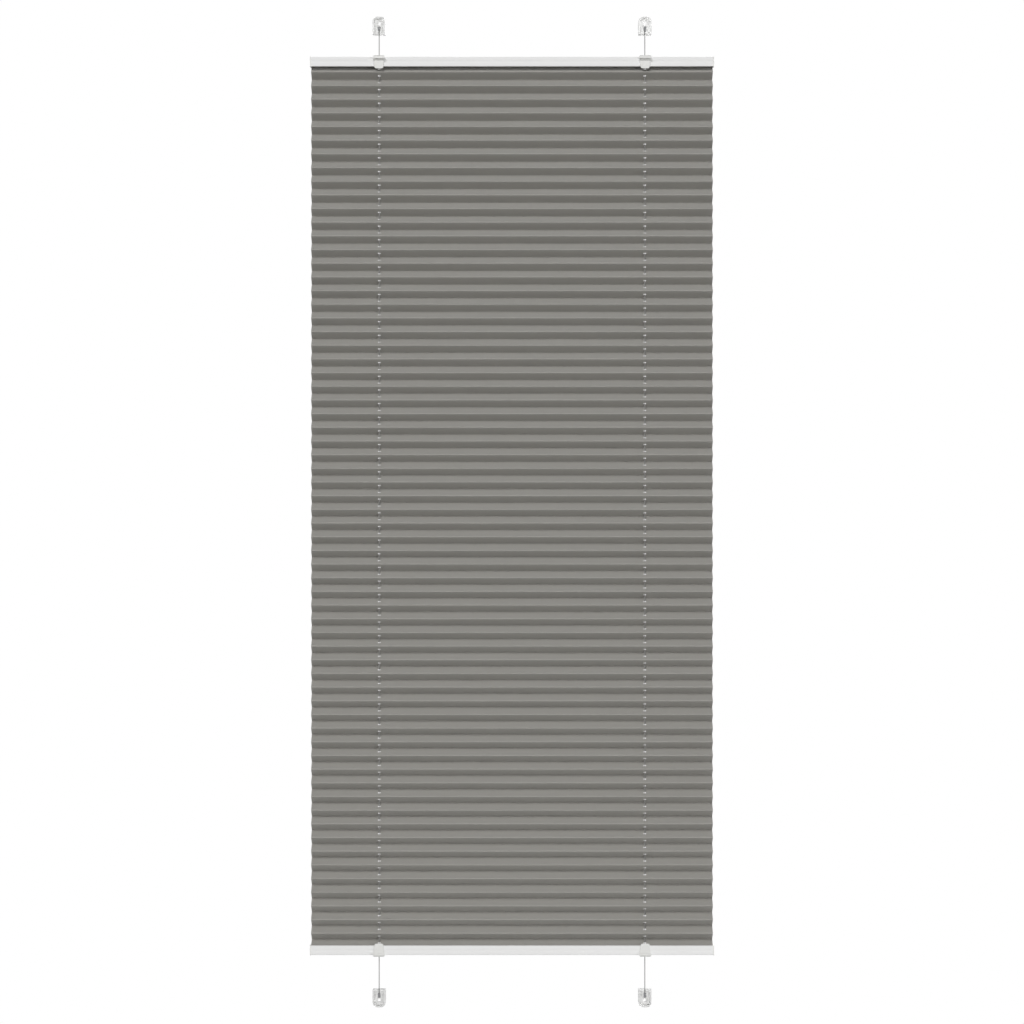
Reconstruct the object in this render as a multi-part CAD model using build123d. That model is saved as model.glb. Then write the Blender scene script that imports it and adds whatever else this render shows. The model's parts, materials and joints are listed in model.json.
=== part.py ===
from build123d import *
import math
import os

# Pleated blind: a folded cloth between two rails that slide on two taut cords.
# Millimetres. X runs along the rails, +Z is up and the blind's front faces -Y.
# The origin is the centre of the four bracket screws, in the plane that they fasten to.

# Whole blind
blind_width = 450.0  # over the end caps
blind_height = 1000.0  # between the outer faces of the two rails
gap_above = 26.0  # from the top rail to the top brackets
gap_below = 39.4  # from the bottom rail to the bottom brackets
cord_spacing = 296.4  # between the two cords
back_clearance = 1.5  # from the rails to the plane that the brackets are screwed to

# Cloth
pleat_face = 15.0  # width of the cloth from one fold to the next
pleat_pitch = 15.2  # wanted height of one pleat when the blind is down
cloth_thickness = 0.3
cloth_end_clearance = 0.15  # from each side of the cloth to the end cap
punch_radius = 1.5  # corner radius of the holes that the cords pass through
punch_sides = 6
mouth_clearance = 0.35  # from the folds to the rail's lips
bond_gap = 0.05  # glue between the cloth's end flaps and the carrier strips

# Rails
rail_height = 10.6
rail_wall = 1.0
rail_web = 1.2
rail_corner = 0.8
lip_height = 2.0
lip_reach = 0.7
rib_size = 0.6  # keeper ribs above the carrier strip
groove_height = 2.6  # shallow line along the front of the rail
groove_depth = 0.25
groove_from_mouth = 4.2

# Carrier strips
strip_thickness = 1.3
strip_inset = 0.5  # from each end of the rail
strip_hole_clearance = 1.0  # round the cord

# End caps
cap_plate = 1.1
cap_overhang = 0.4
cap_corner = 1.2
plug_length = 12.0
plug_wall = 1.2
plug_chamfer = 0.5

# Cord guides
guide_width = 5.6
guide_depth = 4.4
guide_flange = 0.8
guide_flange_reach = 1.3  # how far the flange stands out from the body
guide_flange_edge = 0.3
guide_barb = 0.3  # how far the snap barbs stand out from the body
guide_barb_height = 0.9
guide_foot_taper = 0.6
guide_foot_clearance = 0.3  # above the carrier strip
bore_clearance = 0.3  # round the cord

# Grips
grip_shell = 1.4
grip_tab = 1.8  # thickness of the tab on the rail's front
grip_reach = 6.0  # how far the finger lip stands forward of the rail
grip_lip_height = 3.4
grip_lip_radius = 3.0
grip_top_width = 12.0
grip_lip_width = 14.6
grip_tab_width = 12.6
grip_tail_width = 9.4
grip_tail = 2.3  # how far the tab passes the rail's mouth
grip_tail_corner = 1.8
grip_corner = 0.8
grip_toe_setback = 0.2
grip_guide_clearance = 0.5

# Cords and their stops
cord_diameter = 0.9
stop_width = 2.9
stop_tip_width = 2.2
stop_length = 5.4
stop_crown = 0.6

# Brackets
bracket_width = 14.5
bracket_height = 19.5
bracket_cover = 3.6  # from the cord to the front rim
bracket_plate = 2.5
bracket_wall = 1.9
bracket_crown = 5.6  # corner radius of the outer end
boss_wall = 1.7
boss_drop = 0.8  # from the front rim to the boss
boss_floor = 3.6  # thickness of the floor that the stop rests on
cord_slot = 1.5
screw_radius = 1.6
screw_head_radius = 3.0
screw_head_clearance = 0.8  # from the boss to the screw's head

# Fits
fit = 0.1  # between pieces that are pushed or clipped together
overrun = 1.0  # by which a cut passes the face that it opens

# Worked out: the cloth's zigzag
mouth_recess = lip_height + fit - bond_gap - cloth_thickness / 2
zigzag_height = blind_height - 2 * rail_height + 2 * mouth_recess
fold_count = 2 * math.floor(zigzag_height / pleat_pitch) + 1
fold_height = zigzag_height / fold_count
fold_angle = math.asin(fold_height / pleat_face)
pleat_depth = pleat_face * math.cos(fold_angle)
skin_shift = cloth_thickness / 2 / math.sin(fold_angle)
nose_shift = skin_shift + cloth_thickness / 2 / math.tan(fold_angle)

# Worked out: the rails
mouth_half = pleat_depth / 2 + nose_shift + mouth_clearance
cavity_half = mouth_half + lip_reach
rail_depth = 2 * (cavity_half + rail_wall)
rail_front = -rail_depth / 2
rail_length = blind_width - 2 * cap_plate
strip_low = lip_height + fit
strip_high = strip_low + strip_thickness
rib_low = strip_high + fit
plug_low = rib_low + rib_size + fit
plug_high = rail_height - rail_web - fit

# Worked out: places in the blind's frame
cord_y = -(rail_depth / 2 + back_clearance)
bracket_z = (blind_height + gap_above + gap_below) / 2
top_mouth_z = bracket_z - gap_above - rail_height
bottom_mouth_z = gap_below + rail_height - bracket_z
cord_radius = cord_diameter / 2
bore_radius = cord_radius + bore_clearance
bracket_depth = bracket_cover - cord_y
boss_height = boss_floor + stop_length
boss_width = stop_width + 2 * (fit + boss_wall)
screw_z = boss_height + screw_head_clearance + screw_head_radius
sides = {"left": -cord_spacing / 2, "right": cord_spacing / 2}


def band(x_low, x_high, y_low, y_high):
    """A rectangle between two pairs of edges."""
    across = x_high - x_low
    up = y_high - y_low
    return Pos(x_low + across / 2, y_low + up / 2) * Rectangle(across, up)


def make_rail():
    """Channel, open below towards the cloth, with the cord guides' holes in its web."""
    section = Pos(0, rail_height / 2) * RectangleRounded(rail_depth, rail_height, rail_corner)
    section -= band(-cavity_half, cavity_half, lip_height, rail_height - rail_web)
    section -= band(-mouth_half, mouth_half, -overrun, lip_height)
    groove_high = groove_from_mouth + groove_height
    section -= band(rail_front - overrun, rail_front + groove_depth, groove_from_mouth, groove_high)
    for edge in (-cavity_half, cavity_half - rib_size):
        section += band(edge, edge + rib_size, rib_low, rib_low + rib_size)
    rail = extrude(Plane.YZ * section, rail_length / 2, both=True)
    hole = Box(guide_width + 2 * fit, guide_depth + 2 * fit, rail_web + 2 * overrun)
    for x in sides.values():
        rail -= Pos(x, 0, rail_height - rail_web / 2) * hole
    return rail


def make_strip():
    """Flat strip that slides in between the rail's lips and its keeper ribs."""
    half_width = cavity_half - fit
    section = band(-half_width, half_width, strip_low, strip_high)
    strip = extrude(Plane.YZ * section, rail_length / 2 - strip_inset, both=True)
    outline = RegularPolygon(cord_radius + strip_hole_clearance, punch_sides)
    hole = extrude(outline, strip_high + overrun)
    for x in sides.values():
        strip -= Pos(x, 0, 0) * hole
    return strip


def make_end_cap():
    """Right hand cap: a rounded plate and a hollow plug that fits in the channel."""
    plate_half = rail_depth / 2 + cap_overhang
    outline = band(-plate_half, plate_half, 0, rail_height + cap_overhang)
    outline = fillet(outline.vertices().group_by(Axis.Y)[-1], cap_corner)
    cap = extrude(Plane.YZ * outline, cap_plate)
    plug_half = cavity_half - fit
    outer = band(-plug_half, plug_half, plug_low, plug_high)
    plug = extrude(Plane.YZ * outer, -plug_length)
    plug = chamfer(plug.faces().sort_by(Axis.X)[0].edges(), plug_chamfer)
    inner_half = plug_half - plug_wall
    inner = band(-inner_half, inner_half, plug_low + plug_wall, plug_high - plug_wall)
    plug -= extrude(Plane.YZ * inner, -plug_length - overrun)
    return Pos(rail_length / 2, 0, 0) * (cap + plug)


def make_cord_guide():
    """Moulded insert that lines the cord's hole: a flange, and a body with two snap barbs."""
    foot = strip_high + guide_foot_clearance
    seat = rail_height + fit / 2
    top = seat + guide_flange
    half = guide_width / 2
    barb_high = rail_height - rail_web - fit
    barb_low = barb_high - guide_barb_height
    right = [
        (half - guide_foot_taper, foot),
        (half, foot + guide_foot_taper),
        (half, barb_low),
        (half + guide_barb, barb_high),
        (half, barb_high),
        (half, seat),
    ]
    left = [(-x, z) for x, z in reversed(right)]
    body = extrude(Plane.XZ * make_face(Polyline(*right, *left, close=True)), guide_depth / 2, both=True)
    flange = Box(guide_width + 2 * guide_flange_reach, guide_depth + 2 * guide_flange_reach, guide_flange)
    flange = chamfer(flange.faces().sort_by(Axis.Z)[-1].edges(), guide_flange_edge)
    guide = body + Pos(0, 0, seat + guide_flange / 2) * flange
    return guide - Pos(0, 0, (foot + top) / 2) * Cylinder(bore_radius, top - foot + 2 * overrun)


def make_grip():
    """Finger lip on a tab, clipped over the rail's outer face and under its mouth."""
    low = rail_height + fit
    high = low + grip_shell
    nose = rail_front - grip_reach
    lip_low = high - grip_lip_height
    tab_front = rail_front - fit - grip_tab
    flange_back = -guide_depth / 2 - guide_flange_reach - grip_guide_clearance
    toe_back = rail_front + rail_wall + lip_reach - grip_toe_setback
    turn = nose + grip_lip_radius
    lip_side = Polyline((turn, low), (flange_back, low), (flange_back, high), (turn, high))
    lip_side += RadiusArc((turn, high), (nose, high - grip_lip_radius), -grip_lip_radius)
    lip_side += Polyline(
        (nose, high - grip_lip_radius),
        (nose, lip_low),
        (nose + grip_shell, lip_low),
        (nose + grip_shell, high - grip_lip_radius),
    )
    lip_side += RadiusArc((nose + grip_shell, high - grip_lip_radius), (turn, low), grip_lip_radius - grip_shell)
    tab_side = Polyline(
        (tab_front, low),
        (tab_front, -grip_tail),
        (toe_back, -fit - grip_shell),
        (toe_back, -fit),
        (rail_front - fit, -fit),
        (rail_front - fit, low),
        close=True,
    )
    lip = Polyline(
        (-grip_top_width / 2, high),
        (grip_top_width / 2, high),
        (grip_lip_width / 2, lip_low),
        (-grip_lip_width / 2, lip_low),
        close=True,
    )
    tab = Polyline(
        (-grip_tab_width / 2, low),
        (grip_tab_width / 2, low),
        (grip_tail_width / 2, -grip_tail),
        (-grip_tail_width / 2, -grip_tail),
        close=True,
    )
    lip_face = make_face(lip)
    lip_face = chamfer(lip_face.vertices(), grip_corner)
    tab_face = make_face(tab)
    tab_face = fillet(tab_face.vertices().group_by(Axis.Y)[0], grip_tail_corner)
    lip_bar = extrude(Plane.YZ * make_face(lip_side), grip_lip_width / 2, both=True)
    tab_bar = extrude(Plane.YZ * make_face(tab_side), grip_lip_width / 2, both=True)
    lip_outline = extrude(Plane.XZ * lip_face, rail_depth + grip_reach, both=True)
    tab_outline = extrude(Plane.XZ * tab_face, rail_depth + grip_reach, both=True)
    return (lip_bar & lip_outline) + (tab_bar & tab_outline)


def make_bracket():
    """Clear tension bracket: a round-ended tray with a forked boss that holds the cord's stop."""
    outline = band(-bracket_width / 2, bracket_width / 2, 0, bracket_height)
    outline = fillet(outline.vertices().group_by(Axis.Y)[-1], bracket_crown)
    bracket = extrude(Plane.XZ * outline, bracket_depth)
    tray = offset(outline, -bracket_wall)
    bracket -= Pos(0, -bracket_plate, 0) * extrude(Plane.XZ * tray, bracket_depth)
    boss = band(-boss_width / 2, boss_width / 2, bracket_wall / 2, boss_height)
    bracket += extrude(Plane.XZ * boss, bracket_depth - boss_drop)
    bracket -= front_slot(stop_width / 2 + fit, boss_floor, boss_height + overrun)
    bracket -= front_slot(cord_slot / 2, -overrun, boss_floor)
    screw = Rot(90, 0, 0) * Cylinder(screw_radius, bracket_plate + 2 * overrun)
    return bracket - Pos(0, -bracket_plate / 2, screw_z) * screw


def front_slot(half_width, low, high):
    """A slot from the bracket's front to just behind the cord, between two heights."""
    back = cord_y + half_width
    section = Plane.XZ * band(-half_width, half_width, low, high)
    return Pos(0, back, 0) * extrude(section, bracket_depth + back + overrun)


def make_stop():
    """Four sided wedge, clamped on the cord's end, with its narrow end towards the rail."""
    shoulder = boss_height - stop_crown
    right = [
        (stop_tip_width / 2, boss_floor),
        (stop_width / 2, shoulder),
        (stop_width / 2 - stop_crown, boss_height),
    ]
    left = [(-x, z) for x, z in reversed(right)]
    taper = make_face(Polyline(*right, *left, close=True))
    wedge = extrude(Plane.XZ * taper, stop_width, both=True) & extrude(Plane.YZ * taper, stop_width, both=True)
    return Pos(0, cord_y, 0) * wedge


def make_cord():
    """Straight cord between the tips of its two stops."""
    return Pos(0, cord_y, 0) * Cylinder(cord_radius, 2 * (bracket_z + boss_floor))


def make_cloth():
    """One folded sheet: a zigzag with a flat flap at each end, punched for the cords."""
    top_z = top_mouth_z + mouth_recess
    half_depth = pleat_depth / 2
    half_skin = cloth_thickness / 2
    back_fold = cord_y + half_depth
    front_fold = cord_y - half_depth
    bottom_z = top_z - zigzag_height
    folds = []
    for index in range(1, fold_count):
        fold_y = front_fold if index % 2 else back_fold
        folds.append((fold_y, top_z - index * fold_height))
    back_skin = [(y + skin_shift, z) for y, z in folds]
    front_skin = [(y - skin_shift, z) for y, z in folds]
    points = [(front_fold, top_z + half_skin), (back_fold + nose_shift, top_z + half_skin)]
    points += back_skin
    points += [(front_fold + nose_shift, bottom_z + half_skin), (back_fold, bottom_z + half_skin)]
    points += [(back_fold, bottom_z - half_skin), (front_fold - nose_shift, bottom_z - half_skin)]
    points += reversed(front_skin)
    points += [(back_fold - nose_shift, top_z - half_skin), (front_fold, top_z - half_skin)]
    section = make_face(Polyline(*points, close=True))
    cloth = extrude(Plane.YZ * section, rail_length / 2 - cloth_end_clearance, both=True)
    punch = extrude(RegularPolygon(punch_radius, punch_sides), zigzag_height + 2 * overrun)
    for x in sides.values():
        cloth -= Pos(x, cord_y, bottom_z - overrun) * punch
    return cloth


def turned_over(z):
    """Place for a piece of the lower half: the upper half's piece turned about Y."""
    return Pos(0, 0, z) * Rot(0, 180, 0)


def make_rail_set(name, place):
    """The rail and everything clipped, pushed or slid into it, under its own names."""
    pieces = {f"{name}_rail": make_rail(), f"{name}_carrier_strip": make_strip()}
    cap = make_end_cap()
    guide = make_cord_guide()
    grip = make_grip()
    turn = 1 if name == "top" else -1
    for side, x in sides.items():
        pieces[f"{name}_cord_guide_{side}"] = Pos(turn * x, 0, 0) * guide
        pieces[f"{name}_grip_{side}"] = Pos(turn * x, 0, 0) * grip
        facing = 0 if turn * x > 0 else 180
        pieces[f"{name}_end_cap_{side}"] = Rot(0, 0, facing) * cap
    return {node: place * piece for node, piece in pieces.items()}


def make_blind():
    """Every piece of the blind, by node name."""
    nodes = {"pleated_cloth": make_cloth()}
    bracket = make_bracket()
    stop = make_stop()
    cord = make_cord()
    for side, x in sides.items():
        nodes[f"cord_{side}"] = Pos(x, 0, 0) * cord
        for level, place in (("top", Pos(0, 0, bracket_z)), ("bottom", turned_over(-bracket_z))):
            nodes[f"bracket_{level}_{side}"] = Pos(x, 0, 0) * place * bracket
            nodes[f"cord_stop_{level}_{side}"] = Pos(x, 0, 0) * place * stop
    in_line = Pos(0, cord_y, 0)
    nodes |= make_rail_set("top", in_line * Pos(0, 0, top_mouth_z))
    nodes |= make_rail_set("bottom", in_line * turned_over(bottom_mouth_z))
    return nodes


os.makedirs("parts", exist_ok=True)
for node, piece in make_blind().items():
    export_step(piece, f"parts/{node}.step")
print(f"folds {fold_count}, fold height {fold_height:.3f}, pleat depth {pleat_depth:.2f}")
print(f"rail depth {rail_depth:.2f}, cords at Y {cord_y:.2f}, screws at Z {bracket_z + screw_z:.2f}")
print(f"cloth cut {rail_length - 2 * cloth_end_clearance:.1f} by {fold_count * pleat_face + 2 * pleat_depth:.0f}")
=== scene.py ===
"""Finished looks of a pleated blind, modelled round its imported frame.

Metres. X runs along the rails, +Z is up and the blind's front faces -Y.
"""

import json
import logging
import math
from dataclasses import dataclass
from enum import Enum
from typing import Any

import bmesh
import bpy
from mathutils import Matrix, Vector

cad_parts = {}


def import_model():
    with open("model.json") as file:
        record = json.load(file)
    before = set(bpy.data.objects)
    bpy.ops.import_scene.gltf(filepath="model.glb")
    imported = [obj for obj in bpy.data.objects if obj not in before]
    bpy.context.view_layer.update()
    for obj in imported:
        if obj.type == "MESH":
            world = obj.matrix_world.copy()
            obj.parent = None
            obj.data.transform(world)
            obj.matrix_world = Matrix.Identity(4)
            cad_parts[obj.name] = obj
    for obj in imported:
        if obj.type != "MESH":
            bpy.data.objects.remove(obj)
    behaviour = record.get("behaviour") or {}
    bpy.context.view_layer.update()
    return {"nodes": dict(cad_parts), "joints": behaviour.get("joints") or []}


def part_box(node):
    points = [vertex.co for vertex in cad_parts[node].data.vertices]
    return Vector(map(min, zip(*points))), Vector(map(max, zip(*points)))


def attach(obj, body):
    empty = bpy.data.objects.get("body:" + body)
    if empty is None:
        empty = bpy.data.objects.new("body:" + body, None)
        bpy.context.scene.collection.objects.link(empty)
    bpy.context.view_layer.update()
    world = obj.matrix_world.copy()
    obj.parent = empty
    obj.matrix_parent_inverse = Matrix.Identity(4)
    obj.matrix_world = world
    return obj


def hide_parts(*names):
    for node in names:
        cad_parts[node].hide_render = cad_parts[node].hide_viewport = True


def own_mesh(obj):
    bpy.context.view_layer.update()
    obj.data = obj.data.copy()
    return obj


LOG = logging.getLogger("pleated_blind")
CLOTH_UV = "UVMap"
WHITE = (1.0, 1.0, 1.0, 1.0)
MM_PER_METRE = 1000
# Points that lie closer together than this are one point.
MERGE_DISTANCE = 2e-6
# Faces that turn less than this from one to the next are one flat face.
FLAT_ANGLE = math.radians(0.5)
# Edges of a CAD piece that turn more than this are rounded.
ROUNDED_ANGLE = math.radians(25)
ROUNDING_STEPS = 2
# Edges of the cloth and the cords that turn more than this are shaded as sharp.
SHARP_ANGLE = math.radians(35)
# Sockets of a Mix node that mixes two colours.
MIX_FIRST, MIX_SECOND, MIX_RESULT = 6, 7, 2


class Level(Enum):
    """The upper or the lower half of the blind."""

    TOP = "top"
    BOTTOM = "bottom"


class Side(Enum):
    """The left or the right cord, seen from the front."""

    LEFT = "left"
    RIGHT = "right"


class Slot(Enum):
    """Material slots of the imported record."""

    CLOTH = "pleated_polyester"
    ALUMINIUM = "white_aluminium"
    MOULDING = "white_plastic"
    GRIP = "grip_plastic"
    CLEAR = "clear_plastic"
    STOP = "grey_plastic"
    CORD = "braided_cord"


def linear(colour: str) -> tuple[float, float, float, float]:
    """Turn an sRGB hex colour into linear RGBA.

    Args:
        colour: Colour written as #rrggbb.

    Returns:
        Linear red, green and blue, and an alpha of one.
    """
    full, toe, slope, offset, power = 255, 0.04045, 12.92, 0.055, 2.4
    shares = [value / full for value in bytes.fromhex(colour.removeprefix("#"))]
    red, green, blue = (
        share / slope if share <= toe else ((share + offset) / (1 + offset)) ** power
        for share in shares
    )
    return red, green, blue, 1.0


def add_node(
    tree: bpy.types.NodeTree,
    kind: str,
    settings: dict[str, Any] | None = None,
    inputs: dict[str | int, Any] | None = None,
) -> bpy.types.Node:
    """Add a node, set its properties, and fill or link its inputs.

    Args:
        tree: Node tree that gets the node.
        kind: Blender's identifier for the kind of node.
        settings: Properties of the node and their values.
        inputs: Values, or sockets to link, by the input's name or index.

    Returns:
        The new node.
    """
    node = tree.nodes.new(kind)
    for name, value in (settings or {}).items():
        setattr(node, name, value)
    for key, value in (inputs or {}).items():
        if isinstance(value, bpy.types.NodeSocket):
            tree.links.new(value, node.inputs[key])
        else:
            node.inputs[key].default_value = value
    return node


def background_rays(tree: bpy.types.NodeTree) -> bpy.types.NodeSocket:
    """Add the test for rays that see the background: from the camera, mirrored or let through.

    Args:
        tree: Node tree of the floor or the world.

    Returns:
        A socket that is one for such rays and zero for light.
    """
    path = add_node(tree, "ShaderNodeLightPath").outputs
    seen = path["Is Camera Ray"]
    for ray in ("Is Glossy Ray", "Is Transmission Ray"):
        either = add_node(tree, "ShaderNodeMath", {"operation": "MAXIMUM"}, {0: seen, 1: path[ray]})
        seen = either.outputs[0]
    return seen


def size_inputs(tree: bpy.types.NodeTree, sizes: dict[str, tuple[str, Any]]) -> dict[str, Any]:
    """Give a new Geometry Nodes tree its geometry sockets and one named input for each size.

    Args:
        tree: The new tree.
        sizes: Kind of socket and value of each input, by its name.

    Returns:
        The value of each input by the socket's identifier.
    """
    tree.interface.new_socket("Geometry", in_out="INPUT", socket_type="NodeSocketGeometry")
    values = {}
    for name, (kind, value) in sizes.items():
        socket = tree.interface.new_socket(name, in_out="INPUT", socket_type=kind)
        values[socket.identifier] = value
    tree.interface.new_socket("Geometry", in_out="OUTPUT", socket_type="NodeSocketGeometry")
    return values


def run_tree(piece: bpy.types.Object, tree: bpy.types.NodeTree, values: dict[str, Any]) -> None:
    """Put a Geometry Nodes tree on a piece.

    Args:
        piece: Mesh or curve object that the tree starts from.
        tree: The tree.
        values: The value of each input by the socket's identifier.
    """
    modifier = piece.modifiers.new(tree.name, "NODES")
    modifier.node_group = tree
    for identifier, value in values.items():
        modifier[identifier] = value


def show(name: str, data: bpy.types.ID) -> bpy.types.Object:
    """Put data in the scene as an object at the origin.

    Args:
        name: Name of the object.
        data: Its mesh, curve, light or camera.

    Returns:
        The new object.
    """
    piece = bpy.data.objects.new(name, data)
    bpy.context.scene.collection.objects.link(piece)
    return piece


def settled(piece: bpy.types.Object) -> bpy.types.Object:
    """Replace a piece that has modifiers by a plain mesh of the same name.

    Args:
        piece: Mesh or curve object with live modifiers.

    Returns:
        The plain mesh object.
    """
    graph = bpy.context.evaluated_depsgraph_get()
    mesh = bpy.data.meshes.new_from_object(
        piece.evaluated_get(graph), preserve_all_data_layers=True, depsgraph=graph
    )
    name = piece.name
    bpy.data.objects.remove(piece)
    mesh.name = name
    return show(name, mesh)


def softened_copy(node: bpy.types.Object, name: str, rounding: float) -> bpy.types.Object:
    """Copy a CAD node with its flat faces made whole and its sharp edges rounded.

    An edge beside a face that is too narrow for the rounding stays as it is.

    Args:
        node: CAD node to copy.
        name: Name of the new piece.
        rounding: Width of the rounded edge.

    Returns:
        The new piece.
    """
    shape = bmesh.new()
    shape.from_mesh(node.data)
    bmesh.ops.remove_doubles(shape, verts=shape.verts, dist=MERGE_DISTANCE)
    bmesh.ops.dissolve_limit(
        shape, angle_limit=FLAT_ANGLE, verts=shape.verts, edges=shape.edges
    )
    weights = shape.edges.layers.float.new("bevel_weight_edge")
    for edge in shape.edges:
        roomy = all(face.calc_area() > rounding * edge.calc_length() for face in edge.link_faces)
        edge[weights] = float(roomy and edge.calc_face_angle(0.0) > ROUNDED_ANGLE)
    mesh = bpy.data.meshes.new(name)
    shape.to_mesh(mesh)
    shape.free()
    mesh.shade_smooth()
    piece = show(name, mesh)
    bevel = piece.modifiers.new("rounding", "BEVEL")
    bevel.offset_type = "WIDTH"
    bevel.width = rounding
    bevel.segments = ROUNDING_STEPS
    bevel.limit_method = "WEIGHT"
    bevel.loop_slide = False
    bevel.use_clamp_overlap = False
    piece.modifiers.new("joined_points", "WELD").merge_threshold = MERGE_DISTANCE
    piece.modifiers.new("flat_shading", "WEIGHTED_NORMAL")
    return settled(piece)


@dataclass(frozen=True)
class Finish:
    """What a surface is made of. Each kind of finish adds its own pattern."""

    name: str
    colour: str
    roughness: float
    ior: float

    def material(self) -> bpy.types.Material:
        """Make this finish's material at its first use.

        Returns:
            The material, the same one at each use.
        """
        made = bpy.data.materials.get(self.name)
        if made is None:
            made = bpy.data.materials.new(self.name)
            made.use_nodes = True
            shader = made.node_tree.nodes["Principled BSDF"]
            shader.inputs["Base Color"].default_value = linear(self.colour)
            shader.inputs["Roughness"].default_value = self.roughness
            shader.inputs["IOR"].default_value = self.ior
            self.add_pattern(made.node_tree, shader)
        return made

    def add_pattern(self, tree: bpy.types.NodeTree, shader: bpy.types.Node) -> None:
        """Add the nodes that set this finish apart.

        Args:
            tree: The material's node tree.
            shader: Its Principled shader.
        """
        raise NotImplementedError

    def dress(self, piece: bpy.types.Object) -> None:
        """Give every face of a piece this finish.

        Args:
            piece: New piece or CAD node.
        """
        piece.data.materials.clear()
        piece.data.materials.append(self.material())


@dataclass(frozen=True)
class WovenPolyester(Finish):
    """Plain weave of matt yarn: fine checks close to, faint lengthwise streaks from further off."""

    slub_colour: str
    thread_spacing: float
    thread_relief: float
    slub_length: float
    slub_height: float
    sheen: float
    sheen_roughness: float
    slub_detail: float = 3.0

    def add_pattern(self, tree: bpy.types.NodeTree, shader: bpy.types.Node) -> None:
        """Add the weave's checks, the streaks of uneven yarn and the sheen of its fibres.

        Args:
            tree: The material's node tree.
            shader: Its Principled shader.
        """
        cut = add_node(tree, "ShaderNodeUVMap", {"uv_map": CLOTH_UV}).outputs[0]
        place = add_node(tree, "ShaderNodeSeparateXYZ", inputs={0: cut}).outputs
        waves = []
        for direction in ("X", "Y"):
            turn = add_node(
                tree,
                "ShaderNodeMath",
                {"operation": "MULTIPLY"},
                {0: place[direction], 1: math.pi / self.thread_spacing},
            )
            wave = add_node(tree, "ShaderNodeMath", {"operation": "SINE"}, {0: turn.outputs[0]})
            waves.append(wave.outputs[0])
        checks = add_node(
            tree, "ShaderNodeMath", {"operation": "MULTIPLY"}, dict(enumerate(waves))
        )
        stretched = add_node(
            tree,
            "ShaderNodeMapping",
            inputs={"Vector": cut, "Scale": (1 / self.slub_length, 1 / self.slub_height, 1)},
        )
        slubs = add_node(
            tree,
            "ShaderNodeTexNoise",
            inputs={"Vector": stretched.outputs[0], "Scale": 1.0, "Detail": self.slub_detail},
        )
        tint = add_node(
            tree,
            "ShaderNodeMix",
            {"data_type": "RGBA"},
            {
                0: slubs.outputs[0],
                MIX_FIRST: linear(self.colour),
                MIX_SECOND: linear(self.slub_colour),
            },
        )
        relief = add_node(
            tree,
            "ShaderNodeBump",
            inputs={"Strength": 1.0, "Distance": self.thread_relief, "Height": checks.outputs[0]},
        )
        tree.links.new(tint.outputs[MIX_RESULT], shader.inputs["Base Color"])
        tree.links.new(relief.outputs[0], shader.inputs["Normal"])
        shader.inputs["Sheen Weight"].default_value = self.sheen
        shader.inputs["Sheen Roughness"].default_value = self.sheen_roughness


@dataclass(frozen=True)
class Grained(Finish):
    """A coated, moulded or extruded surface with a fine grain and a slightly uneven gloss."""

    tint: str
    grain_size: float
    grain_relief: float
    mottle_size: float
    gloss_spread: float
    stretch: float = 1.0
    grain_detail: float = 2.0
    mottle_detail: float = 3.0

    def add_pattern(self, tree: bpy.types.NodeTree, shader: bpy.types.Node) -> None:
        """Add the grain, the mottled tint and the uneven gloss.

        Args:
            tree: The material's node tree.
            shader: Its Principled shader.
        """
        place = add_node(tree, "ShaderNodeTexCoord").outputs["Object"]
        along = add_node(
            tree,
            "ShaderNodeMapping",
            inputs={"Vector": place, "Scale": (1 / self.stretch, 1, 1)},
        ).outputs[0]
        grain = add_node(
            tree,
            "ShaderNodeTexNoise",
            inputs={"Vector": along, "Scale": 1 / self.grain_size, "Detail": self.grain_detail},
        )
        mottle = add_node(
            tree,
            "ShaderNodeTexNoise",
            inputs={"Vector": along, "Scale": 1 / self.mottle_size, "Detail": self.mottle_detail},
        )
        tinted = add_node(
            tree,
            "ShaderNodeMix",
            {"data_type": "RGBA"},
            {
                0: mottle.outputs[0],
                MIX_FIRST: linear(self.colour),
                MIX_SECOND: linear(self.tint),
            },
        )
        gloss = add_node(
            tree,
            "ShaderNodeMapRange",
            inputs={
                "Value": mottle.outputs[0],
                "To Min": self.roughness - self.gloss_spread,
                "To Max": self.roughness + self.gloss_spread,
            },
        )
        relief = add_node(
            tree,
            "ShaderNodeBump",
            inputs={"Strength": 1.0, "Distance": self.grain_relief, "Height": grain.outputs[0]},
        )
        tree.links.new(tinted.outputs[MIX_RESULT], shader.inputs["Base Color"])
        tree.links.new(gloss.outputs[0], shader.inputs["Roughness"])
        tree.links.new(relief.outputs[0], shader.inputs["Normal"])


@dataclass(frozen=True)
class ClearMoulding(Finish):
    """Milky moulded plastic: lets light through, with faint flow lines and a slight polish."""

    clarity: float
    flow_size: float
    flow_relief: float
    flow_detail: float = 1.0

    def add_pattern(self, tree: bpy.types.NodeTree, shader: bpy.types.Node) -> None:
        """Let light through the shader and add the flow lines.

        Args:
            tree: The material's node tree.
            shader: Its Principled shader.
        """
        shader.inputs["Transmission Weight"].default_value = self.clarity
        place = add_node(tree, "ShaderNodeTexCoord").outputs["Object"]
        flow = add_node(
            tree,
            "ShaderNodeTexNoise",
            inputs={"Vector": place, "Scale": 1 / self.flow_size, "Detail": self.flow_detail},
        )
        relief = add_node(
            tree,
            "ShaderNodeBump",
            inputs={"Strength": 1.0, "Distance": self.flow_relief, "Height": flow.outputs[0]},
        )
        tree.links.new(relief.outputs[0], shader.inputs["Normal"])


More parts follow.
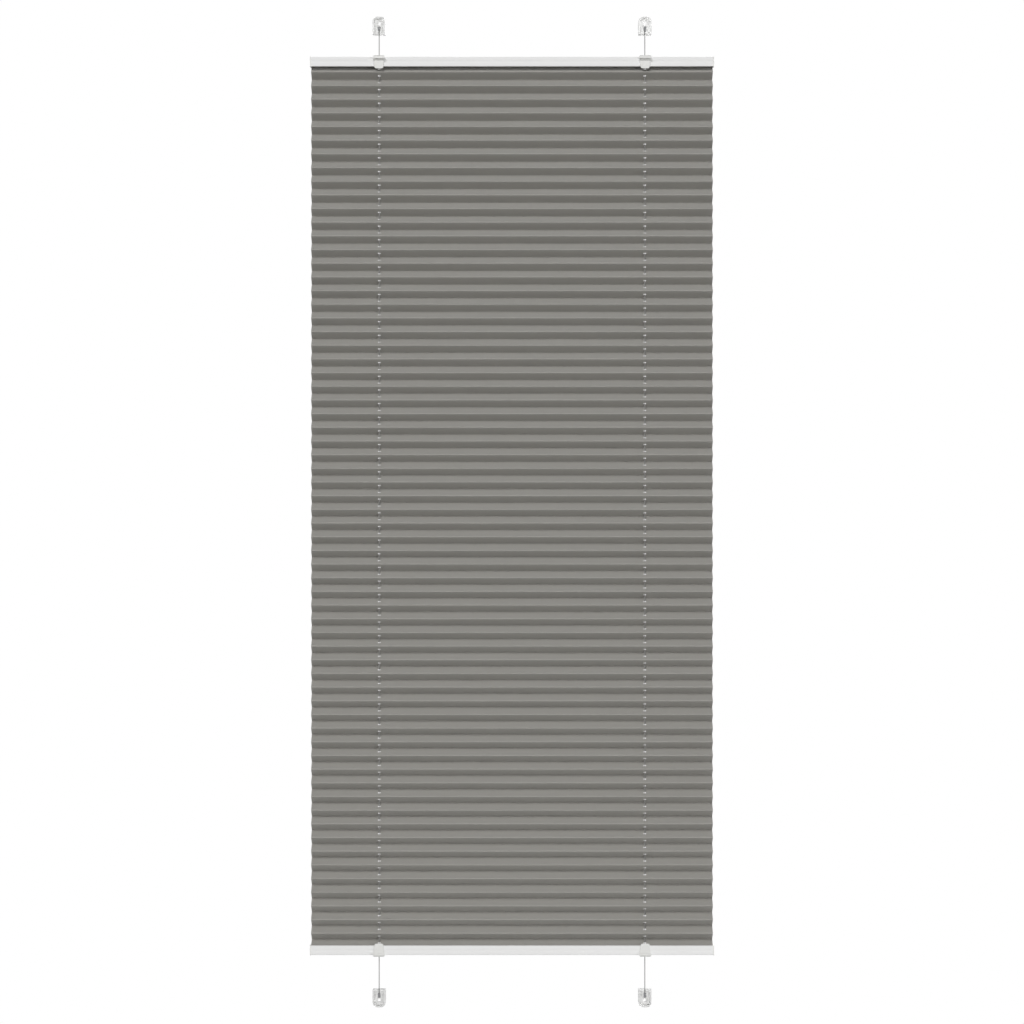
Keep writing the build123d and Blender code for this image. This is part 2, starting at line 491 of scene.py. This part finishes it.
@dataclass(frozen=True)
class BraidedYarn(Finish):
    """Tight round braid: two sets of strands that cross in small diamonds round the cord, with
    shade painted into the gaps between them.
    """

    # Colour painted into the gaps between strands as their shade.
    painted_gap_shade: str
    axis_x: float
    axis_y: float
    strands: int
    lay_length: float
    strand_relief: float

    def add_pattern(self, tree: bpy.types.NodeTree, shader: bpy.types.Node) -> None:
        """Add the crossing strands, wound about the axes of the two cords, with shade painted into
        the gaps between them.

        Args:
            tree: The material's node tree.
            shader: Its Principled shader.
        """
        place = add_node(tree, "ShaderNodeTexCoord").outputs["Object"]
        spot = add_node(tree, "ShaderNodeSeparateXYZ", inputs={0: place}).outputs
        aside = add_node(tree, "ShaderNodeMath", {"operation": "ABSOLUTE"}, {0: spot["X"]})
        right = add_node(
            tree,
            "ShaderNodeMath",
            {"operation": "SUBTRACT"},
            {0: aside.outputs[0], 1: self.axis_x},
        )
        back = add_node(
            tree, "ShaderNodeMath", {"operation": "SUBTRACT"}, {0: spot["Y"], 1: self.axis_y}
        )
        angle = add_node(
            tree,
            "ShaderNodeMath",
            {"operation": "ARCTAN2"},
            {0: back.outputs[0], 1: right.outputs[0]},
        )
        around = add_node(
            tree,
            "ShaderNodeMath",
            {"operation": "MULTIPLY"},
            {0: angle.outputs[0], 1: self.strands / 2},
        )
        climb = add_node(
            tree,
            "ShaderNodeMath",
            {"operation": "MULTIPLY"},
            {0: spot["Z"], 1: math.tau * self.strands / 2 / self.lay_length},
        )
        waves = []
        for operation in ("ADD", "SUBTRACT"):
            turn = add_node(
                tree,
                "ShaderNodeMath",
                {"operation": operation},
                {0: around.outputs[0], 1: climb.outputs[0]},
            )
            wave = add_node(tree, "ShaderNodeMath", {"operation": "SINE"}, {0: turn.outputs[0]})
            waves.append(wave.outputs[0])
        crossing = add_node(
            tree, "ShaderNodeMath", {"operation": "MULTIPLY"}, dict(enumerate(waves))
        )
        bulge = add_node(
            tree, "ShaderNodeMath", {"operation": "ABSOLUTE"}, {0: crossing.outputs[0]}
        )
        # Painted shade: the lower the strands lie, the darker their colour, down to the gaps'
        # colour.
        tint = add_node(
            tree,
            "ShaderNodeMix",
            {"data_type": "RGBA"},
            {
                0: bulge.outputs[0],
                MIX_FIRST: linear(self.painted_gap_shade),
                MIX_SECOND: linear(self.colour),
            },
        )
        relief = add_node(
            tree,
            "ShaderNodeBump",
            inputs={"Strength": 1.0, "Distance": self.strand_relief, "Height": bulge.outputs[0]},
        )
        tree.links.new(tint.outputs[MIX_RESULT], shader.inputs["Base Color"])
        tree.links.new(relief.outputs[0], shader.inputs["Normal"])


@dataclass(frozen=True)
class PaperSweep(Finish):
    """Pale studio paper under the blind, which fades into the white background towards its rim."""

    least_white: float
    fade_from: float
    fade_to: float

    def add_pattern(self, tree: bpy.types.NodeTree, shader: bpy.types.Node) -> None:
        """Fade the paper to white, where the background is seen and not for light.

        Args:
            tree: The material's node tree.
            shader: Its Principled shader.
        """
        place = add_node(tree, "ShaderNodeTexCoord").outputs["Object"]
        level = add_node(
            tree, "ShaderNodeVectorMath", {"operation": "MULTIPLY"}, {0: place, 1: (1, 1, 0)}
        )
        reach = add_node(
            tree, "ShaderNodeVectorMath", {"operation": "LENGTH"}, {0: level.outputs[0]}
        )
        fade = add_node(
            tree,
            "ShaderNodeMapRange",
            {"interpolation_type": "SMOOTHSTEP"},
            {
                "Value": reach.outputs["Value"],
                "From Min": self.fade_from,
                "From Max": self.fade_to,
                "To Min": self.least_white,
            },
        )
        seen = add_node(
            tree,
            "ShaderNodeMath",
            {"operation": "MULTIPLY"},
            {0: fade.outputs[0], 1: background_rays(tree)},
        )
        glow = add_node(tree, "ShaderNodeEmission")
        blend = add_node(
            tree,
            "ShaderNodeMixShader",
            inputs={0: seen.outputs[0], 1: shader.outputs[0], 2: glow.outputs[0]},
        )
        tree.links.new(blend.outputs[0], tree.nodes["Material Output"].inputs["Surface"])


# A polyester weave is matt and hides its threads from a step away. Its loose fibres catch light
# that runs along the cloth, so the folds of a raised stack stay grey. The threads are drawn a
# little further apart than the real 0.3 mm, so that they still show close to.
CLOTH = WovenPolyester(
    name="woven_polyester",
    colour="#a5a39e",
    slub_colour="#aaa8a3",
    roughness=0.9,
    ior=1.5,
    thread_spacing=0.0005,
    thread_relief=0.00005,
    slub_length=0.028,
    slub_height=0.0012,
    sheen=1.0,
    sheen_roughness=0.25,
)
# Powder coat is a baked skin of white plastic, satin, with a soft orange peel.
POWDER_COAT = Grained(
    name="powder_coated_aluminium",
    colour="#f2f2f2",
    tint="#efefee",
    roughness=0.42,
    ior=1.5,
    grain_size=0.0014,
    grain_relief=0.00001,
    mottle_size=0.03,
    gloss_spread=0.04,
    stretch=2.0,
)
# Moulded caps and guides are satin and a little warmer than the rails. The tool leaves a fine
# spark texture on them, drawn coarser here than the real 0.1 mm, so that it shows close to.
MOULDED_ABS = Grained(
    name="moulded_white_abs",
    colour="#f0f0ee",
    tint="#edede9",
    roughness=0.38,
    ior=1.53,
    grain_size=0.0006,
    grain_relief=0.000008,
    mottle_size=0.012,
    gloss_spread=0.05,
)
# The grips are the same plastic, shinier because fingers rub them smooth.
POLISHED_ABS = Grained(
    name="polished_white_abs",
    colour="#ededeb",
    tint="#eaeae7",
    roughness=0.26,
    ior=1.53,
    grain_size=0.0008,
    grain_relief=0.000006,
    mottle_size=0.008,
    gloss_spread=0.06,
)
# Extruded strip is a dull warm white, with a grain drawn out along its length.
EXTRUDED_PVC = Grained(
    name="extruded_white_pvc",
    colour="#e7e4db",
    tint="#e1ded4",
    roughness=0.5,
    ior=1.53,
    grain_size=0.0008,
    grain_relief=0.00001,
    mottle_size=0.004,
    gloss_spread=0.05,
    stretch=12.0,
)
# The cords' stops are tough unfilled nylon, matt and mid grey.
GREY_NYLON = Grained(
    name="moulded_grey_nylon",
    colour="#8a8b8d",
    tint="#838486",
    roughness=0.5,
    ior=1.53,
    grain_size=0.0005,
    grain_relief=0.00001,
    mottle_size=0.003,
    gloss_spread=0.06,
)
# Polycarbonate bends light strongly, so its rims look grey on white. The brackets are slightly
# milky.
POLYCARBONATE = ClearMoulding(
    name="milky_polycarbonate",
    colour="#e9e9e8",
    roughness=0.3,
    ior=1.585,
    clarity=0.76,
    flow_size=0.004,
    flow_relief=0.00003,
)
# Uncoated paper is matt and pale, and takes a soft shadow.
STUDIO_PAPER = PaperSweep(
    name="studio_paper",
    colour="#dededc",
    roughness=0.9,
    ior=1.45,
    least_white=0.45,
    fade_from=0.7,
    fade_to=1.75,
)


@dataclass
class PleatedCloth:
    """One sheet, punched for the cords and folded into pleats between the rails."""

    width: float
    cord_spacing: float
    cord_plane: float
    top: float
    bottom: float
    travel: float
    pleat_face: float = 0.015
    pleat_pitch: float = 0.0152
    thickness: float = 0.0003
    crease_softness: float = 0.972
    punch_radius: float = 0.0015
    patch_half: float = 0.003
    patch_steps: int = 4
    middle_steps: int = 2
    crease_shares: tuple[float, ...] = (0.0, 0.02, 0.045, 0.08, 0.14)

    @classmethod
    def from_frame(cls, joints: list[dict[str, Any]]) -> "PleatedCloth":
        """Take the cloth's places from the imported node.

        Args:
            joints: The record's joints.

        Returns:
            The cloth, ready to build.
        """
        low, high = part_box("pleated_cloth")
        cord_low, cord_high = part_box("cord_right")
        slide = next(joint for joint in joints if joint["name"] == "bottom_rail_slide")
        return cls(
            width=high.x - low.x,
            cord_spacing=cord_low.x + cord_high.x,
            cord_plane=(cord_low.y + cord_high.y) / 2,
            top=high.z - cls.thickness / 2,
            bottom=low.z + cls.thickness / 2,
            travel=slide["range_m"][1],
        )

    @property
    def height(self) -> float:
        """Height of the zigzag, from flap to flap."""
        return self.top - self.bottom

    @property
    def fold_count(self) -> int:
        """Number of faces in the zigzag, an odd number."""
        return 2 * math.floor(self.height / self.pleat_pitch) + 1

    @property
    def fold_height(self) -> float:
        """Height of one face as it hangs."""
        return self.height / self.fold_count

    @property
    def pleat_depth(self) -> float:
        """Depth from the front folds to the back folds."""
        return math.sqrt(self.pleat_face**2 - self.fold_height**2)

    @property
    def cut_length(self) -> float:
        """Length of the flat cloth, with the flaps in the rails."""
        return self.fold_count * self.pleat_face + 2 * self.pleat_depth

    @property
    def patch_step(self) -> float:
        """Width of one division of the patch round a hole."""
        return 2 * self.patch_half / self.patch_steps

    def columns(self) -> list[float]:
        """Divide the cloth's mesh across its width.

        Returns:
            Places from side to side, close together at the cords.
        """
        cord = self.cord_spacing / 2
        outer, inner = cord + self.patch_half, cord - self.patch_half
        right = [self.width / 2]
        right += [outer - self.patch_step * at for at in range(self.patch_steps + 1)]
        right += [inner * (1 - at / self.middle_steps) for at in range(1, self.middle_steps)]
        return [-x for x in right] + [0.0] + right[::-1]

    def rows(self) -> list[float]:
        """Divide one face of the cloth down its height.

        Returns:
            Places from crease to crease, close together at the creases and the hole.
        """
        upper = [share * self.pleat_face for share in self.crease_shares]
        first = self.pleat_face / 2 - self.patch_half
        patch = [first + self.patch_step * at for at in range(self.patch_steps + 1)]
        return upper + patch + [self.pleat_face - place for place in reversed(upper)]

    def punched_face(self) -> bpy.types.Mesh:
        """Make one flat face of the cloth, with a round hole for each cord.

        Returns:
            The mesh, hanging down from z = 0 in the plane y = 0.
        """
        columns, rows = self.columns(), self.rows()
        shape = bmesh.new()
        grid = [[shape.verts.new((x, 0, -place)) for place in rows] for x in columns]
        top_row = len(self.crease_shares)
        patches = []
        for cord in (-self.cord_spacing / 2, self.cord_spacing / 2):
            edge = cord - self.patch_half
            nearest = min(range(len(columns)), key=lambda at: abs(columns[at] - edge))
            patches.append((cord, nearest))
        for column in range(len(columns) - 1):
            punched = any(first <= column < first + self.patch_steps for _, first in patches)
            left, right = grid[column], grid[column + 1]
            for row in range(len(rows) - 1):
                if not (punched and top_row <= row < top_row + self.patch_steps):
                    shape.faces.new([left[row], left[row + 1], right[row + 1], right[row]])
        for cord, first in patches:
            self.punch(shape, grid, cord, first, top_row)
        loose = [vert for vert in shape.verts if not vert.link_faces]
        bmesh.ops.delete(shape, geom=loose, context="VERTS")
        mesh = bpy.data.meshes.new("punched_face")
        shape.to_mesh(mesh)
        shape.free()
        return mesh

    def punch(
        self,
        shape: bmesh.types.BMesh,
        grid: list[list[bmesh.types.BMVert]],
        cord: float,
        column: int,
        row: int,
    ) -> None:
        """Fill one patch of the face up to the rim of its round hole.

        Args:
            shape: Mesh of the face.
            grid: Its vertices by column and row.
            cord: Place of the cord across the cloth.
            column: First column of the patch.
            row: First row of the patch.
        """
        steps = self.patch_steps
        border = [(column, row + at) for at in range(steps)]
        border += [(column + at, row + steps) for at in range(steps)]
        border += [(column + steps, row + steps - at) for at in range(steps)]
        border += [(column + steps - at, row) for at in range(steps)]
        centre = Vector((cord, 0, -self.pleat_face / 2))
        outer = [grid[at][down] for at, down in border]
        rim = []
        for vert in outer:
            outwards = (vert.co - centre).normalized()
            rim.append(shape.verts.new(centre + outwards * self.punch_radius))
        for at in range(len(outer)):
            shape.faces.new([outer[at - 1], outer[at], rim[at], rim[at - 1]])

    def folding_tree(self) -> tuple[bpy.types.NodeTree, dict[str, Any]]:
        """Build the tree that repeats the punched face and folds the long sheet into pleats.

        Returns:
            The tree, and the value of each input by the socket's identifier.
        """
        tree = bpy.data.node_groups.new("folded_sheet", "GeometryNodeTree")
        values = size_inputs(
            tree,
            {
                "Fold Count": ("NodeSocketInt", self.fold_count),
                "Pleat Face": ("NodeSocketFloat", self.pleat_face),
                "Fold Height": ("NodeSocketFloat", self.fold_height),
                "Pleat Depth": ("NodeSocketFloat", self.pleat_depth),
                "Crease Softness": ("NodeSocketFloat", self.crease_softness),
                "Cord Plane": ("NodeSocketFloat", self.cord_plane),
                "Top": ("NodeSocketFloat", self.top),
                "Cloth": ("NodeSocketMaterial", CLOTH.material()),
            },
        )
        given = add_node(tree, "NodeGroupInput").outputs
        place = add_node(tree, "GeometryNodeInputPosition")
        flat = add_node(tree, "ShaderNodeSeparateXYZ", inputs={0: place.outputs[0]}).outputs
        known = {socket.name: socket for sockets in (given, flat) for socket in sockets}
        # Each line is one sum on sizes, on places in the flat sheet and on the sums above it. The
        # sheet has one face more at each end, which is narrowed to the flap in the rail.
        sums = (
            ("next face", "MULTIPLY", "Pleat Face", -1.0),
            ("face count", "ADD", "Fold Count", 2.0),
            ("down", "MULTIPLY", "Z", -1.0),
            ("zigzag length", "MULTIPLY", "Fold Count", "Pleat Face"),
            ("down to flap", "MINIMUM", "down", "zigzag length"),
            ("folded", "MAXIMUM", "down to flap", 0.0),
            ("turn", "DIVIDE", "folded", "Pleat Face"),
            ("angle", "MULTIPLY", "turn", math.pi),
            ("swing", "COSINE", "angle"),
            ("soft swing", "MULTIPLY", "swing", "Crease Softness"),
            ("crease", "ARCSINE", "soft swing"),
            ("full crease", "ARCSINE", "Crease Softness"),
            ("wave", "DIVIDE", "crease", "full crease"),
            ("half depth", "MULTIPLY", "Pleat Depth", 0.5),
            ("pleat", "MULTIPLY", "wave", "half depth"),
            ("flap share", "DIVIDE", "Pleat Depth", "Pleat Face"),
            ("past zigzag", "SUBTRACT", "down", "folded"),
            ("flap", "MULTIPLY", "past zigzag", "flap share"),
            ("depth", "ADD", "pleat", "flap"),
            ("hung depth", "ADD", "Cord Plane", "depth"),
            ("drop", "MULTIPLY", "turn", "Fold Height"),
            ("hung height", "SUBTRACT", "Top", "drop"),
        )
        for name, operation, *terms in sums:
            filled = {at: known.get(term, term) for at, term in enumerate(terms)}
            result = add_node(tree, "ShaderNodeMath", {"operation": operation}, filled)
            known[name] = result.outputs[0]
        start = add_node(tree, "ShaderNodeCombineXYZ", inputs={"Z": known["Pleat Face"]})
        step = add_node(tree, "ShaderNodeCombineXYZ", inputs={"Z": known["next face"]})
        line = add_node(
            tree,
            "GeometryNodeMeshLine",
            inputs={
                "Count": known["face count"],
                "Start Location": start.outputs[0],
                "Offset": step.outputs[0],
            },
        )
        faces = add_node(
            tree,
            "GeometryNodeInstanceOnPoints",
            inputs={"Points": line.outputs[0], "Instance": known["Geometry"]},
        )
        real = add_node(tree, "GeometryNodeRealizeInstances", inputs={0: faces.outputs[0]})
        sheet = add_node(
            tree,
            "GeometryNodeMergeByDistance",
            inputs={"Geometry": real.outputs[0], "Distance": MERGE_DISTANCE},
        )
        cut = add_node(tree, "ShaderNodeCombineXYZ", inputs={"X": known["X"], "Y": known["down"]})
        marked = add_node(
            tree,
            "GeometryNodeStoreNamedAttribute",
            {"data_type": "FLOAT2", "domain": "CORNER"},
            {"Geometry": sheet.outputs[0], "Name": CLOTH_UV, "Value": cut.outputs[0]},
        )
        hung = add_node(
            tree,
            "ShaderNodeCombineXYZ",
            inputs={"X": known["X"], "Y": known["hung depth"], "Z": known["hung height"]},
        )
        bent = add_node(
            tree,
            "GeometryNodeSetPosition",
            inputs={"Geometry": marked.outputs[0], "Position": hung.outputs[0]},
        )
        smooth = add_node(tree, "GeometryNodeSetShadeSmooth", inputs={0: bent.outputs[0]})
        dressed = add_node(
            tree,
            "GeometryNodeSetMaterial",
            inputs={"Geometry": smooth.outputs[0], "Material": known["Cloth"]},
        )
        add_node(tree, "NodeGroupOutput", inputs={0: dressed.outputs[0]})
        return tree, values

    def build(self) -> bpy.types.Object:
        """Make the folded sheet and hang it between the rails.

        Returns:
            The finished cloth.
        """
        piece = show("folded_cloth", self.punched_face())
        run_tree(piece, *self.folding_tree())
        skin = piece.modifiers.new("thickness", "SOLIDIFY")
        skin.thickness = self.thickness
        skin.offset = 0
        piece = settled(piece)
        piece.data.set_sharp_from_angle(angle=SHARP_ANGLE)
        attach(piece, "top_rail")
        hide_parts("pleated_cloth")
        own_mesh(piece)
        return piece


@dataclass
class GuideCord:
    """A taut braided cord from the top bracket to the bottom one."""

    side: Side
    sides: int = 16

    @property
    def node(self) -> str:
        """Name of the cord's CAD node."""
        return f"cord_{self.side.value}"

    def braid(self) -> BraidedYarn:
        """Choose the cord's finish, with the braid wound about the cord's own axis.

        Returns:
            The finish, which serves both cords.
        """
        low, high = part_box(self.node)
        # Braided polyester is dull, with light strands that cross over gaps where shade is painted
        # darker. Its lay is drawn longer than the real 3 mm, so that the strands show close to.
        return BraidedYarn(
            name="braided_polyester_cord",
            colour="#a3a3a2",
            painted_gap_shade="#7d7d7d",
            roughness=0.7,
            ior=1.5,
            axis_x=abs(low.x + high.x) / 2,
            axis_y=(low.y + high.y) / 2,
            strands=8,
            lay_length=0.006,
            strand_relief=0.00004,
        )

    def tube_tree(self) -> tuple[bpy.types.NodeTree, dict[str, Any]]:
        """Build the tree that gives the cord's line its round section.

        Returns:
            The tree, and the value of each input by the socket's identifier.
        """
        low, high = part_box(self.node)
        tree = bpy.data.node_groups.new("cord_tube", "GeometryNodeTree")
        values = size_inputs(
            tree,
            {
                "Radius": ("NodeSocketFloat", (high.x - low.x) / 2),
                "Sides": ("NodeSocketInt", self.sides),
                "Cord": ("NodeSocketMaterial", self.braid().material()),
            },
        )
        given = add_node(tree, "NodeGroupInput").outputs
        ring = add_node(
            tree,
            "GeometryNodeCurvePrimitiveCircle",
            inputs={"Resolution": given["Sides"], "Radius": given["Radius"]},
        )
        tube = add_node(
            tree,
            "GeometryNodeCurveToMesh",
            inputs={
                "Curve": given["Geometry"],
                "Profile Curve": ring.outputs[0],
                "Fill Caps": True,
            },
        )
        real = add_node(tree, "GeometryNodeRealizeInstances", inputs={0: tube.outputs[0]})
        smooth = add_node(tree, "GeometryNodeSetShadeSmooth", inputs={0: real.outputs[0]})
        dressed = add_node(
            tree,
            "GeometryNodeSetMaterial",
            inputs={"Geometry": smooth.outputs[0], "Material": given["Cord"]},
        )
        add_node(tree, "NodeGroupOutput", inputs={0: dressed.outputs[0]})
        return tree, values

    def build(self) -> bpy.types.Object:
        """Make the cord and string it between its brackets.

        Returns:
            The finished cord.
        """
        node = self.node
        low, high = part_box(node)
        middle = (low + high) / 2
        upper = Vector((middle.x, middle.y, high.z))
        lower = Vector((middle.x, middle.y, low.z))
        route = (upper, middle, lower)
        curve = bpy.data.curves.new("cord_line", "CURVE")
        curve.dimensions = "3D"
        line = curve.splines.new("NURBS")
        line.points.add(len(route) - 1)
        for point, place in zip(line.points, route):
            point.co = (*place, 1)
        line.order_u = len(route)
        line.use_endpoint_u = True
        piece = show(f"braided_{node}", curve)
        run_tree(piece, *self.tube_tree())
        piece = settled(piece)
        piece.data.set_sharp_from_angle(angle=SHARP_ANGLE)
        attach(piece, "root")
        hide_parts(node)
        return piece


@dataclass
class HardAssembly:
    """A group of hard pieces that keep their CAD form, with their edges rounded."""

    nodes: dict[str, bpy.types.Object]

    def finished(
        self, node: str, body: str, edge: float, finish: Finish, slot: Slot
    ) -> bpy.types.Object:
        """Make the softened piece that stands for one node.

        Args:
            node: CAD node.
            body: Body that it moves with.
            edge: Width of its rounded edges.
            finish: What it is made of.
            slot: Its slot in the record; not used.

        Returns:
            The finished piece.
        """
        piece = softened_copy(self.nodes[node], f"{node}_finished", edge)
        finish.dress(piece)
        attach(piece, body)
        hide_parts(node)
        return piece


@dataclass
class SlidingRail(HardAssembly):
    """A rail with its end caps, cord guides, finger grips and carrier strip."""

    level: Level
    rail_edge: float = 0.00016
    moulded_edge: float = 0.00014

    def build(self) -> list[bpy.types.Object]:
        """Make every piece of the rail.

        Returns:
            The finished pieces.
        """
        level = self.level.value
        body = f"{level}_rail"
        strip = self.nodes[f"{level}_carrier_strip"]
        EXTRUDED_PVC.dress(strip)
        rail = self.finished(f"{level}_rail", body, self.rail_edge, POWDER_COAT, Slot.ALUMINIUM)
        pieces = [strip, rail]
        for side in Side:
            for part, finish, slot in (
                ("end_cap", MOULDED_ABS, Slot.MOULDING),
                ("cord_guide", MOULDED_ABS, Slot.MOULDING),
                ("grip", POLISHED_ABS, Slot.GRIP),
            ):
                node = f"{level}_{part}_{side.value}"
                pieces.append(self.finished(node, body, self.moulded_edge, finish, slot))
        return pieces


@dataclass
class TensionBracket(HardAssembly):
    """A clear bracket and the stop that it holds at one end of a cord."""

    level: Level
    side: Side
    bracket_edge: float = 0.00035
    stop_edge: float = 0.00028

    def build(self) -> list[bpy.types.Object]:
        """Make the bracket and its cord stop.

        Returns:
            The two finished pieces.
        """
        place = f"{self.level.value}_{self.side.value}"
        return [
            self.finished(node, "root", edge, finish, slot)
            for node, edge, finish, slot in (
                (f"bracket_{place}", self.bracket_edge, POLYCARBONATE, Slot.CLEAR),
                (f"cord_stop_{place}", self.stop_edge, GREY_NYLON, Slot.STOP),
            )
        ]


@dataclass(frozen=True)
class SoftLamp:
    """A square studio lamp behind a diffuser, aimed at the middle of the blind."""

    name: str
    place: tuple[float, float, float]
    size: float
    level: float

    def hang(self) -> None:
        """Hang the lamp, at the power that gives a face turned towards it this level of light."""
        place = Vector(self.place)
        light = bpy.data.lights.new(self.name, "AREA")
        light.shape = "SQUARE"
        light.size = self.size
        light.energy = self.level * math.pi**2 * place.length_squared
        lamp = show(self.name, light)
        lamp.location = place
        lamp.rotation_euler = (-place).to_track_quat("-Z", "Y").to_euler()
        lamp.visible_camera = False
        lamp.visible_transmission = False


@dataclass
class Studio:
    """Camera, soft lights, white surroundings and a pale floor well below the blind."""

    cord_plane: float
    camera_distance: float = 4.3
    view_width: float = 1.1425
    sensor: float = 0.036
    floor_height: float = -1.15
    floor_radius: float = 1.8
    floor_sides: int = 96
    ambient: float = 0.08
    lamps: tuple[SoftLamp, ...] = (
        SoftLamp("key", place=(-2.2, -8.2, 5.4), size=2.8, level=0.503),
        SoftLamp("fill", place=(4.2, -9.0, -0.3), size=4.0, level=0.318),
        SoftLamp("back", place=(3.0, 8.5, 3.3), size=4.0, level=0.72),
    )

    def build(self) -> None:
        """Set up everything round the blind."""
        self.place_camera()
        self.lay_floor()
        self.light()
        bpy.context.scene.view_settings.view_transform = "Standard"

    def place_camera(self) -> None:
        """Look straight at the front, level with the blind's middle."""
        camera = bpy.data.cameras.new("camera")
        camera.sensor_width = MM_PER_METRE * self.sensor
        camera.lens = MM_PER_METRE * self.sensor * self.camera_distance / self.view_width
        seen = show("camera", camera)
        seen.location = (0, self.cord_plane - self.camera_distance, 0)
        seen.rotation_euler = (math.pi / 2, 0, 0)
        bpy.context.scene.camera = seen

    def lay_floor(self) -> None:
        """Lay a round sheet of pale paper under the blind."""
        shape = bmesh.new()
        bmesh.ops.create_circle(
            shape, cap_ends=True, radius=self.floor_radius, segments=self.floor_sides
        )
        bmesh.ops.translate(shape, vec=(0, 0, self.floor_height), verts=shape.verts)
        mesh = bpy.data.meshes.new("floor")
        shape.to_mesh(mesh)
        shape.free()
        floor = show("floor", mesh)
        STUDIO_PAPER.dress(floor)

    def light(self) -> None:
        """Light the blind from the upper left, the front and the back, with white all round."""
        for lamp in self.lamps:
            lamp.hang()
        world = bpy.data.worlds.new("white_studio")
        bpy.context.scene.world = world
        world.use_nodes = True
        tree = world.node_tree
        tree.nodes.clear()
        soft, white = (
            add_node(tree, "ShaderNodeBackground", inputs={"Color": WHITE, "Strength": strength})
            for strength in (self.ambient, 1.0)
        )
        both = add_node(
            tree,
            "ShaderNodeMixShader",
            inputs={0: background_rays(tree), 1: soft.outputs[0], 2: white.outputs[0]},
        )
        add_node(tree, "ShaderNodeOutputWorld", inputs={"Surface": both.outputs[0]})


def main() -> None:
    """Build the blind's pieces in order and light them."""
    logging.basicConfig(level=logging.INFO, format="%(name)s: %(message)s")
    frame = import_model()
    cloth = PleatedCloth.from_frame(frame["joints"])
    Studio(cord_plane=cloth.cord_plane).build()
    pieces = [GuideCord(side).build() for side in Side]
    pieces.append(cloth.build())
    for level in Level:
        pieces += SlidingRail(frame["nodes"], level).build()
        for side in Side:
            pieces += TensionBracket(frame["nodes"], level, side).build()
    for piece in pieces:
        LOG.info("%s: %d faces", piece.name, len(piece.data.polygons))
    LOG.info("cloth cut %.4f by %.4f m, %d folds", cloth.width, cloth.cut_length, cloth.fold_count)


if __name__ == "__main__":
    main()
